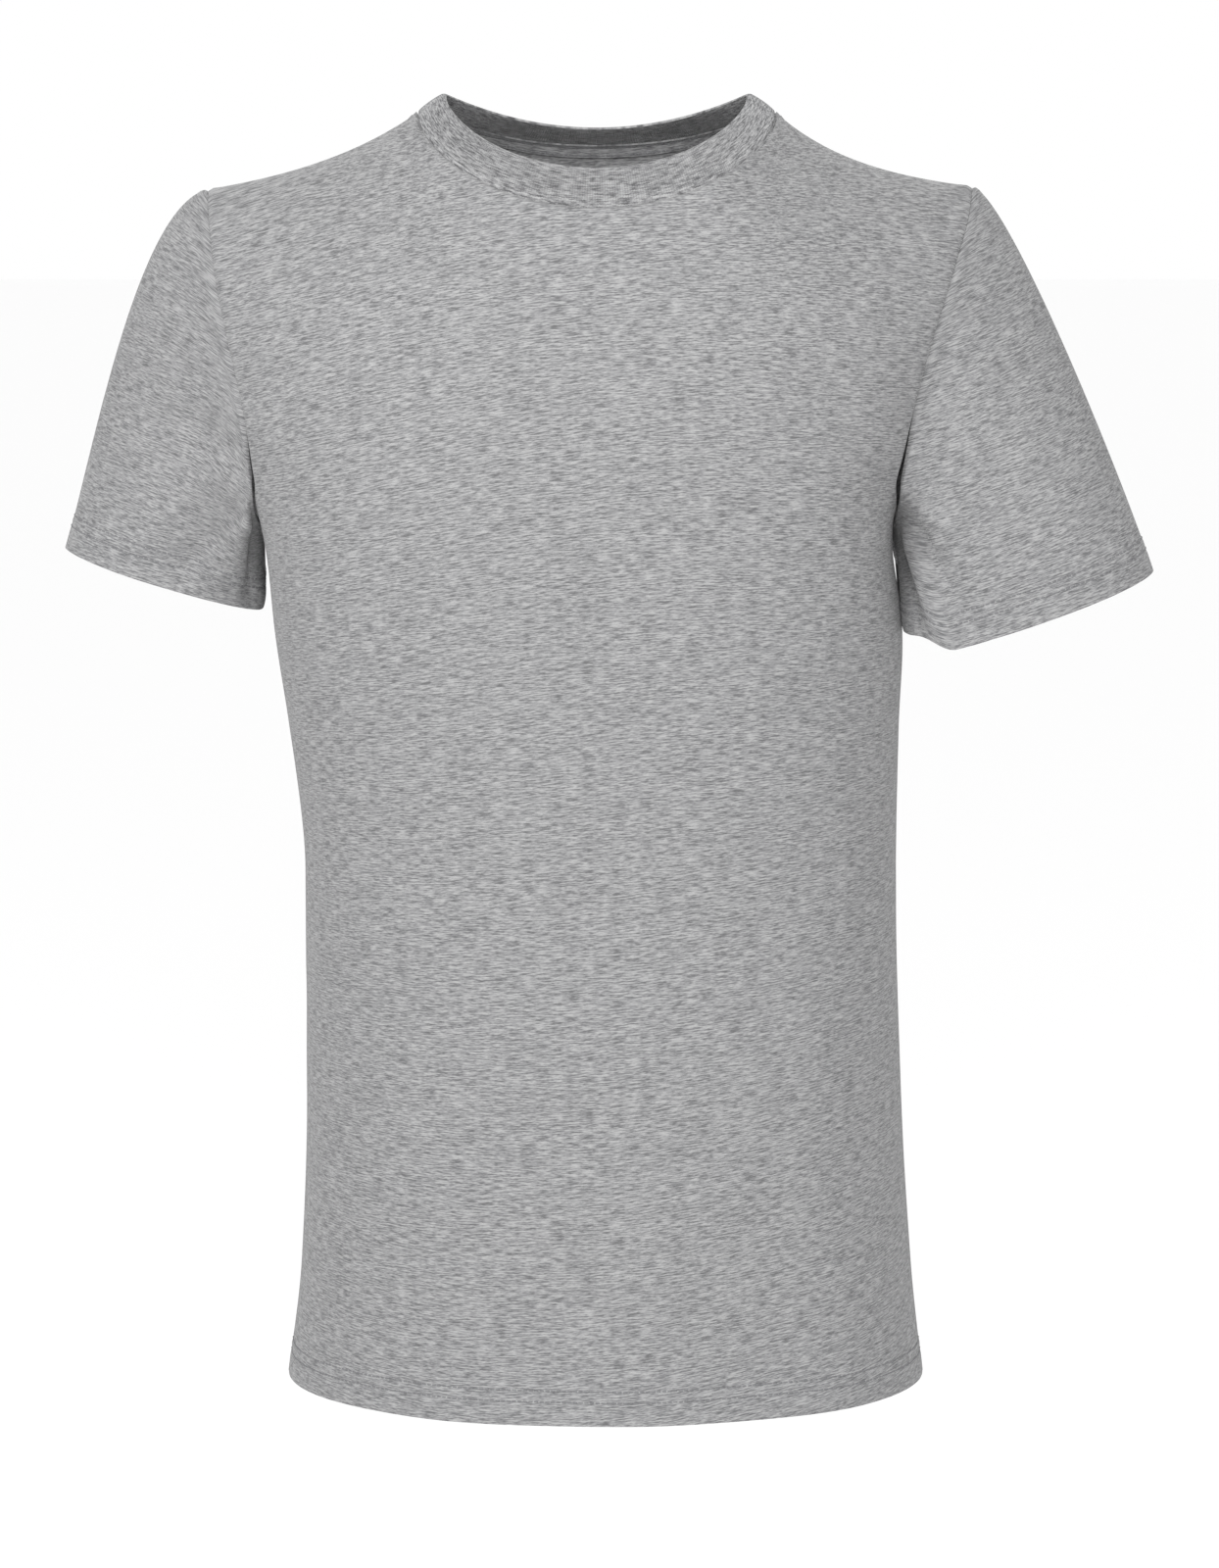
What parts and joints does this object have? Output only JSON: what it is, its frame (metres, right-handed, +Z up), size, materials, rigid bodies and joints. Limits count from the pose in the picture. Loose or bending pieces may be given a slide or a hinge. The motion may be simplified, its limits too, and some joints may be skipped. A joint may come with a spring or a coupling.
{
  "type": "crew neck t-shirt",
  "caption": "Short sleeved knitted T-shirt with a ribbed crew neck, hollow and filled out as when worn.",
  "frame": {"origin": "middle of the neck opening, level with the points where the shoulder seams meet the collar", "axes": "+Z up, the front faces -Y, +X towards the wearer's left"},
  "size_m": [0.5982, 0.249, 0.7107],
  "materials": {
    "jersey": "grey heather single jersey, matt",
    "rib": "grey heather one by one rib, matt"
  },
  "bodies": {
    "root": {"front": "jersey", "back": "jersey", "right_sleeve": "jersey", "left_sleeve": "jersey", "collar": "rib", "neck_tape": "jersey"}
  },
  "joints": []
}
